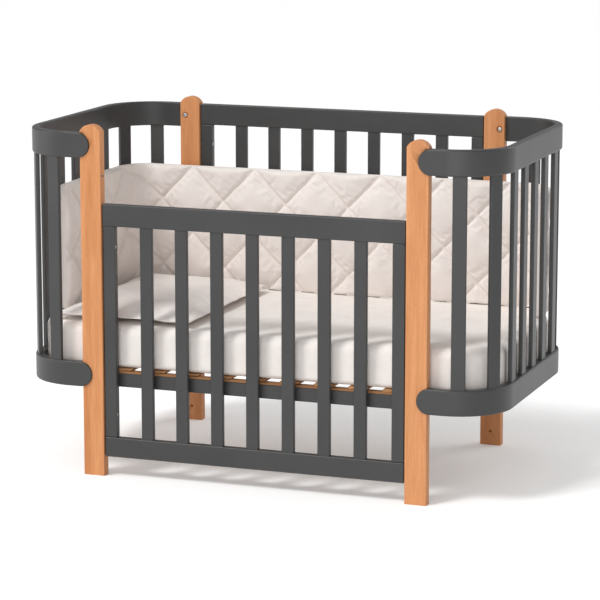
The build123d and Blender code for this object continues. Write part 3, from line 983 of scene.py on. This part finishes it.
def band_place(s):
    """Place and inward direction at a distance s along the back, 0 at its middle. Past the
    back, s runs on round the corner, on the radius of the front face, and along the end."""
    side = 1 if s >= 0 else -1
    run = abs(s)
    if run <= bend_x:
        return Vector((s, b_high.y, 0)), Vector((0, -1, 0))
    if run <= bend_x + inner_arc:
        turn = (run - bend_x) / inner_arc * math.pi / 2
        centre = Vector((side * bend_x, bend_y, 0))
        out = Vector((side * math.sin(turn), math.cos(turn), 0))
        return centre + out * B_CORNER, -out
    return (
        Vector((side * b_high.x, bend_y - (run - bend_x - inner_arc), 0)),
        Vector((-side, 0, 0)),
    )


def full(value):
    """A cosine or sine, pushed outwards, so that a round edge is fuller than a circle."""
    return math.copysign(abs(value) ** 0.7, value)


def band_section(count_face, count_back, count_edge):
    """Depth, height and the share of quilting of each point round the band's section."""
    points = []
    first, last = B_SHOULDER, B_HEIGHT - B_SHOULDER
    for i in range(count_back + 1):
        z = last + (first - last) * i / count_back
        points.append((0.0, z, -1.0))
    for i in range(1, count_edge):
        a = math.pi * i / count_edge
        depth = B_SIDE / 2 * (1 - full(math.cos(a)))
        points.append((depth, first - B_SHOULDER * full(math.sin(a)), -math.cos(a)))
    for i in range(count_face + 1):
        z = first + (last - first) * i / count_face
        mid = (z - B_HEIGHT / 2) / (B_HEIGHT / 2 - B_SHOULDER)
        points.append((B_SIDE + (B_THICK - B_SIDE) * (1 - mid * mid), z, 1.0))
    for i in range(1, count_edge):
        a = math.pi * i / count_edge
        depth = B_SIDE / 2 * (1 + full(math.cos(a)))
        points.append((depth, last + B_SHOULDER * full(math.sin(a)), math.cos(a)))
    return points


def seam_distance(s, z):
    """Distance from the nearest seam, and from the nearest crossing, in the flat band."""
    a = (s - SEAM_START - (z - SEAM_LEVEL)) % SEAM_PITCH
    b = (s - SEAM_START + (z - SEAM_LEVEL)) % SEAM_PITCH
    a = min(a, SEAM_PITCH - a) / math.sqrt(2)
    b = min(b, SEAM_PITCH - b) / math.sqrt(2)
    return min(a, b), math.hypot(a, b)


CELL = SEAM_PITCH / 2 / math.sqrt(2)
SEAM_DEPTH = 10 * MM
PUFF_RISE = 5 * MM


def quilted(depth, z, facing, s):
    """Depth of a point once the seams have drawn it in. facing is 1 in front, -1 behind."""
    near, crossing = seam_distance(s, z + SOFT_LEVEL)
    swell = 1 - (1 - min(1.0, near / CELL)) ** 2.4
    groove = 5 * MM * math.exp(-((near / (5 * MM)) ** 2))
    pull = SEAM_DEPTH * (1 - swell) + groove + 3 * MM * math.exp(-((crossing / (14 * MM)) ** 2))
    # Small puckers lie across each seam, where the thread gathers the cloth
    pucker = math.sin((s + 1.7 * z) / (5.1 * MM)) + math.sin((s - 1.9 * z) / (6.7 * MM))
    pull += 0.35 * MM * pucker * math.exp(-(((near - 9 * MM) / (9 * MM)) ** 2))
    if facing < 0:
        pull *= 0.35
    return depth - facing * pull


# %% The bumper's mesh
ring_step = 3.6 * MM
s_first = -(bend_x + inner_arc + left_run)
s_last = bend_x + inner_arc + right_run
END_ROUND = 16 * MM
stations = [s_first + END_ROUND * (1 - math.cos(math.pi / 2 * i / 5)) for i in range(5)]
body_count = int((s_last - s_first - 2 * END_ROUND) / ring_step)
stations += list(np.linspace(s_first + END_ROUND, s_last - END_ROUND, body_count))
stations += [s_last - END_ROUND * (1 - math.cos(math.pi / 2 * i / 5)) for i in range(4, -1, -1)]
section = band_section(76, 14, 9)
grid = np.zeros((len(stations), len(section), 3))
pins = np.zeros((len(stations), len(section)))
for row, s in enumerate(stations):
    base, inward = band_place(s)
    gap = min(s - s_first, s_last - s)
    plump_share = math.sqrt(max(0.0, 1 - (1 - min(1.0, gap / END_ROUND)) ** 2))
    for column, (depth, z, facing) in enumerate(section):
        drawn = quilted(depth, z, facing, s)
        drawn = 19 * MM + (drawn - 19 * MM) * (0.25 + 0.75 * plump_share)
        rise = B_HEIGHT / 2 + (z - B_HEIGHT / 2) * (0.965 + 0.035 * plump_share)
        place = base + inward * drawn
        # A flat sole lies on the sheet, and the filling lifts the rest a little
        rise = 0.0 if rise < 1.5 * MM else rise * (1 + PUFF_RISE / B_HEIGHT)
        grid[row, column] = (place.x, place.y, SOFT_LEVEL + rise)
        near, _ = seam_distance(s, z + SOFT_LEVEL)
        pins[row, column] = math.exp(-((near / (4 * MM)) ** 2)) if abs(facing) > 0.5 else 0.25
        if facing < 0:
            pins[row, column] = max(pins[row, column], 0.8)
pins[:6] = 1
pins[-6:] = 1
bumper_mesh = cloth_grid("quilted_bumper", grid, caps=(True, True))
work = bmesh.new()
work.from_mesh(bumper_mesh)
bmesh.ops.recalc_face_normals(work, faces=work.faces)
work.to_mesh(bumper_mesh)
work.free()
bumper_mesh.shade_smooth()
moved = plump(bumper_mesh, pins.ravel(), 2.0, 14, 5 * MM, grow=0.02, bending=0.2)
moved[:, 2] = np.maximum(moved[:, 2], SOFT_LEVEL)
for vertex, place in zip(bumper_mesh.vertices, moved):
    vertex.co = place
bumper = put("quilted_bumper", bumper_mesh, bumper_cotton, "bumper", ["bumper"])
finer = bumper.modifiers.new("softer", "SUBSURF")
finer.levels = finer.render_levels = 1
print("bumper:", len(bumper_mesh.polygons), "faces before subdivision")

# %% [markdown]
# ## Pillow
# The pillow is a cotton case with a loose filling: two flat layers, sewn together round the
# edge. Blown up, the middle rises, the sides draw in and the corners stay as small ears. It
# then settles on the mattress, so its lower half is pressed flat.

# %% Pillow
p_low, p_high = low("pillow"), high("pillow")
p_mid = (p_low + p_high) / 2
size_x, size_y = (p_high - p_low).x, (p_high - p_low).y
across, down = 44, 64


def pillow_layer(sign):
    """One layer, from edge to edge, slightly domed so that the pressure knows its way."""
    layer = np.zeros((down + 1, across + 1, 3))
    for r in range(down + 1):
        for c in range(across + 1):
            u, v = 2 * c / across - 1, 2 * r / down - 1
            # Round the corners a little: push points in where both u and v are large
            k = 1 - 0.045 * (u * u * v * v)
            dome = (1 - u**4) * (1 - v**4)
            draw_x = 1 - 0.045 * (1 - v * v) * abs(u) ** 3
            draw_y = 1 - 0.03 * (1 - u * u) * abs(v) ** 3
            layer[r, c] = (
                u * size_x / 2 * k * draw_x,
                v * size_y / 2 * k * draw_y,
                sign * 26 * MM * dome**0.8,
            )
    return layer


upper, lower = pillow_layer(1), pillow_layer(-1)
points, index = [], {}
faces, face_uv = [], []
for name, layer in (("upper", upper), ("lower", lower)):
    for r in range(down + 1):
        for c in range(across + 1):
            rim = r in (0, down) or c in (0, across)
            key = ("rim" if rim else name, r, c)
            if key not in index:
                index[key] = len(points)
                points.append(layer[r, c].tolist())
for name in ("upper", "lower"):
    for r in range(down):
        for c in range(across):
            corners = [(r, c), (r, c + 1), (r + 1, c + 1), (r + 1, c)]
            if name == "lower":
                corners.reverse()
            face = []
            for i, j in corners:
                rim = i in (0, down) or j in (0, across)
                face.append(index[("rim" if rim else name, i, j)])
            faces.append(face)
            face_uv.append([(j / across * size_x, i / down * size_y) for i, j in corners])
pillow_mesh = bpy.data.meshes.new("cotton_pillow")
pillow_mesh.from_pydata(points, [], faces)
uv = pillow_mesh.uv_layers.new(name="cloth").data
for polygon, corners in zip(pillow_mesh.polygons, face_uv):
    for i, place in zip(polygon.loop_indices, corners):
        uv[i].uv = place
pillow_mesh.shade_smooth()
places = np.array(points)
rim = np.array([0.85 if abs(point[2]) < 0.1 * MM else 0.0 for point in points])
places = plump(pillow_mesh, rim, 0.8, 14, 9 * MM, grow=0.015, bending=0.2)
# Fit it to its box, press the lower half flat and lay it on the mattress
places[:, 0] *= size_x / np.ptp(places[:, 0])
places[:, 1] *= size_y / np.ptp(places[:, 1])
places[:, 0] += p_mid.x - (places[:, 0].max() + places[:, 0].min()) / 2
places[:, 1] += p_mid.y - (places[:, 1].max() + places[:, 1].min()) / 2
thick = p_high.z - p_low.z
upper_part = places[:, 2] > 0
top_scale = thick * 0.62 / places[:, 2].max()
low_scale = thick * 0.42 / -places[:, 2].min()
places[upper_part, 2] *= top_scale
places[~upper_part, 2] *= low_scale
rest = thick * 0.30
places[:, 2] = np.where(
    places[:, 2] < -rest * 0.6,
    -rest * 0.6 - (rest * 0.4) * np.tanh((-places[:, 2] - rest * 0.6) / (rest * 0.4)),
    places[:, 2],
)
# Below its seam the pillow draws in, so that the edge overhangs; folds run in from the edge
under = np.clip(-places[:, 2] / rest, 0, 1)
ux = (places[:, 0] - p_mid.x) / (size_x / 2)
vy = (places[:, 1] - p_mid.y) / (size_y / 2)
places[:, 0] -= (places[:, 0] - p_mid.x) * 0.1 * under
places[:, 1] -= (places[:, 1] - p_mid.y) * 0.08 * under
edge_band = np.clip(np.maximum(np.abs(ux), np.abs(vy)), 0, 1)
turn = np.arctan2(vy, ux)
folds = np.sin(9 * turn + 0.8) + 0.7 * np.sin(17 * turn + 2.1) + 0.5 * np.sin(26 * turn)
places[:, 2] += 1.5 * MM * folds * np.exp(-(((edge_band - 0.86) / 0.12) ** 2)) * (under < 0.5)
diagonal = (ux * 0.75 + vy * 0.66 + 0.12) / 0.16
places[:, 2] -= 4 * MM * np.exp(-(diagonal**2)) * np.clip(1 - edge_band, 0, 0.6) * (under < 0.1)
places[:, 2] += p_low.z - places[:, 2].min()
for vertex, place in zip(pillow_mesh.vertices, places):
    vertex.co = place
pillow = put("cotton_pillow", pillow_mesh, pillow_cotton, "pillow", ["pillow"])
finer = pillow.modifiers.new("softer", "SUBSURF")
finer.levels = finer.render_levels = 2
print("pillow:", len(pillow_mesh.polygons), "faces before subdivision")

# %% [markdown]
# ## Quilting stitches
# Each seam of the bumper is a row of stitches 3.4 mm long every 5 mm. They are far too many to
# place one by one, so a tree walks along each seam and lays a small spindle of thread on it.

# %% The stitch tree
stitch_tree = bpy.data.node_groups.new("stitches_on_seams", "GeometryNodeTree")
face = stitch_tree.interface
face.new_socket("Seams", in_out="INPUT", socket_type="NodeSocketGeometry")
for label, kind in (
    ("Spacing", "NodeSocketFloat"),
    ("Stitch length", "NodeSocketFloat"),
    ("Thread radius", "NodeSocketFloat"),
    ("Thread", "NodeSocketMaterial"),
):
    face.new_socket(label, in_out="INPUT", socket_type=kind)
face.new_socket("Stitches", in_out="OUTPUT", socket_type="NodeSocketGeometry")
given = add(stitch_tree, "NodeGroupInput").outputs
walk = add(
    stitch_tree,
    "GeometryNodeCurveToPoints",
    {"Curve": given["Seams"], "Length": given["Spacing"]},
    mode="LENGTH",
)
lay = add(
    stitch_tree,
    "FunctionNodeAlignRotationToVector",
    {"Vector": walk.outputs["Tangent"]},
    axis="Z",
)
spindle = add(
    stitch_tree,
    "GeometryNodeMeshUVSphere",
    {"Segments": 6, "Rings": 4, "Radius": 1.0},
)
shape = add(
    stitch_tree,
    "ShaderNodeCombineXYZ",
    {"X": given["Thread radius"], "Y": given["Thread radius"]},
)
half = add(stitch_tree, "ShaderNodeMath", {0: given["Stitch length"], 1: 0.5}, operation="MULTIPLY")
stitch_tree.links.new(half.outputs[0], shape.inputs["Z"])
sewn = add(
    stitch_tree,
    "GeometryNodeInstanceOnPoints",
    {
        "Points": walk.outputs["Points"],
        "Instance": spindle.outputs[0],
        "Rotation": lay.outputs[0],
        "Scale": shape.outputs[0],
    },
)
real = add(stitch_tree, "GeometryNodeRealizeInstances", {"Geometry": sewn.outputs[0]})
finished = add(
    stitch_tree,
    "GeometryNodeSetMaterial",
    {"Geometry": real.outputs[0], "Material": given["Thread"]},
)
add(stitch_tree, "NodeGroupOutput", {0: finished.outputs[0]})


# %% Seams as lines on the bumper's front
def seam_point(s, z, skin):
    """A point on the quilted front, a skin's thickness above the cloth."""
    height = z - SOFT_LEVEL
    mid = (height - B_HEIGHT / 2) / (B_HEIGHT / 2 - B_SHOULDER)
    depth = B_SIDE + (B_THICK - B_SIDE) * (1 - mid * mid)
    base, inward = band_place(s)
    place = base + inward * (quilted(depth, height, 1.0, s) + skin)
    return (place.x, place.y, SOFT_LEVEL + height * (1 + PUFF_RISE / B_HEIGHT))


seams = []
reach_z = (SOFT_LEVEL + B_SHOULDER, SOFT_LEVEL + B_HEIGHT - B_SHOULDER)
for k in range(-9, 9):
    for slope in (1, -1):
        line = []
        for i in range(95):
            z = reach_z[0] + (reach_z[1] - reach_z[0]) * i / 94
            s = SEAM_START + k * SEAM_PITCH + slope * (z - SEAM_LEVEL)
            if s_first + END_ROUND < s < s_last - END_ROUND:
                line.append(seam_point(s, z, 0.5 * MM))
        if len(line) > 4:
            seams.append(line)
stitches = grown(
    line_object(seams),
    stitch_tree,
    {
        "Spacing": 5 * MM,
        "Stitch length": 3.4 * MM,
        "Thread radius": 0.45 * MM,
        "Thread": thread,
    },
)
stitches.shade_smooth()
put("quilting_stitches", stitches, thread, "bumper")
print("stitches:", len(stitches.polygons), "faces on", len(seams), "seams")

# %% [markdown]
# ## Studio
# The crib stands on a plain white floor in soft daylight from the upper left, in front. The sky
# lights everything evenly, a high sun with a wide disc gives soft slat shadows, and softboxes fill
# the sides. Seen by the camera, the floor is lifted to white, but it keeps the crib's shadow.

# %% Floor and light
scene = bpy.context.scene
scene.view_settings.view_transform = "Standard"

floor_mesh = bpy.data.meshes.new("studio_floor")
half = 30.0
floor_mesh.from_pydata(
    [(-half, -half, 0), (half, -half, 0), (half, half, 0), (-half, half, 0)], [], [(0, 1, 2, 3)]
)
floor = bpy.data.objects.new("studio_floor", floor_mesh)
scene.collection.objects.link(floor)
floor_paint = bpy.data.materials.new("white_studio_floor")
floor_paint.use_nodes = True
tree = floor_paint.node_tree
tree.nodes.clear()
matt = add(tree, "ShaderNodeBsdfDiffuse", {"Color": (0.9, 0.9, 0.9, 1)})
path = add(tree, "ShaderNodeLightPath").outputs
seen = larger(tree, path["Is Camera Ray"], path["Is Glossy Ray"])
seen = larger(tree, seen, path["Is Transmission Ray"])
LIFT = 0.21
lift = add(tree, "ShaderNodeMath", {0: seen, 1: LIFT}, operation="MULTIPLY")
glow = add(tree, "ShaderNodeEmission", {"Color": (1, 1, 1, 1), "Strength": lift.outputs[0]})
total = add(tree, "ShaderNodeAddShader", {0: matt.outputs[0], 1: glow.outputs[0]})
add(tree, "ShaderNodeOutputMaterial", {"Surface": total.outputs[0]})
floor_mesh.materials.append(floor_paint)

world = bpy.data.worlds.new("studio_daylight")
scene.world = world
world.use_nodes = True
tree = world.node_tree
tree.nodes.clear()
path = add(tree, "ShaderNodeLightPath").outputs
seen = larger(tree, path["Is Camera Ray"], path["Is Transmission Ray"])
SKY = 0.45
strength = blended(tree, seen, SKY, 1.0)
sky = add(tree, "ShaderNodeBackground", {"Color": (1, 1, 1, 1), "Strength": strength})
add(tree, "ShaderNodeOutputWorld", {"Surface": sky.outputs[0]})


def lamp(name, kind, place, aim, energy, **settings):
    """A lamp at a place, turned to an aim."""
    data = bpy.data.lights.new(name, kind)
    data.energy = energy
    for key, value in settings.items():
        setattr(data, key, value)
    light = bpy.data.objects.new(name, data)
    scene.collection.objects.link(light)
    light.location = place
    light.rotation_euler = (Vector(aim) - Vector(place)).to_track_quat("-Z", "Y").to_euler()


lamp("window_sun", "SUN", (-1.9, -2.8, 5.0), (0, 0, 0.4), 1.65, angle=math.radians(16))
lamp("side_window", "AREA", (-4.2, -1.6, 1.9), (0, 0, 0.4), 40, size=2.6)
lamp("front_softbox", "AREA", (1.0, -5.2, 1.5), (0, 0, 0.5), 62, size=3.0)
lamp("back_window", "AREA", (2.8, 3.2, 2.6), (0.2, 0, 0.5), 45, size=2.4)
print("sky", SKY, "floor lift", LIFT)

# %% [markdown]
# ## Camera
# The camera stands 6.9 m off, to the right of the middle and a little above the crib, with a
# long lens, as a catalogue photographer has it. The place was solved from the crib's edges.

# %% Camera
AZIMUTH, ELEVATION = math.radians(20.13), math.radians(10.82)
TARGET = Vector((0.00464, 0.0, 0.41325))
DISTANCE = 6.9379
LENS_PIXELS = 2741.9
FRAME_PIXELS = 600
back = Vector(
    (
        math.sin(AZIMUTH) * math.cos(ELEVATION),
        -math.cos(AZIMUTH) * math.cos(ELEVATION),
        math.sin(ELEVATION),
    )
)
eye = bpy.data.cameras.new("catalogue_camera")
eye.sensor_width = 36
eye.lens = LENS_PIXELS / FRAME_PIXELS * eye.sensor_width
eye.clip_end = 100
camera = bpy.data.objects.new("catalogue_camera", eye)
scene.collection.objects.link(camera)
camera.location = TARGET + back * DISTANCE
camera.rotation_euler = back.to_track_quat("Z", "Y").to_euler()
scene.camera = camera
print("camera at", [round(c, 3) for c in camera.location], "lens", round(eye.lens, 1), "mm")
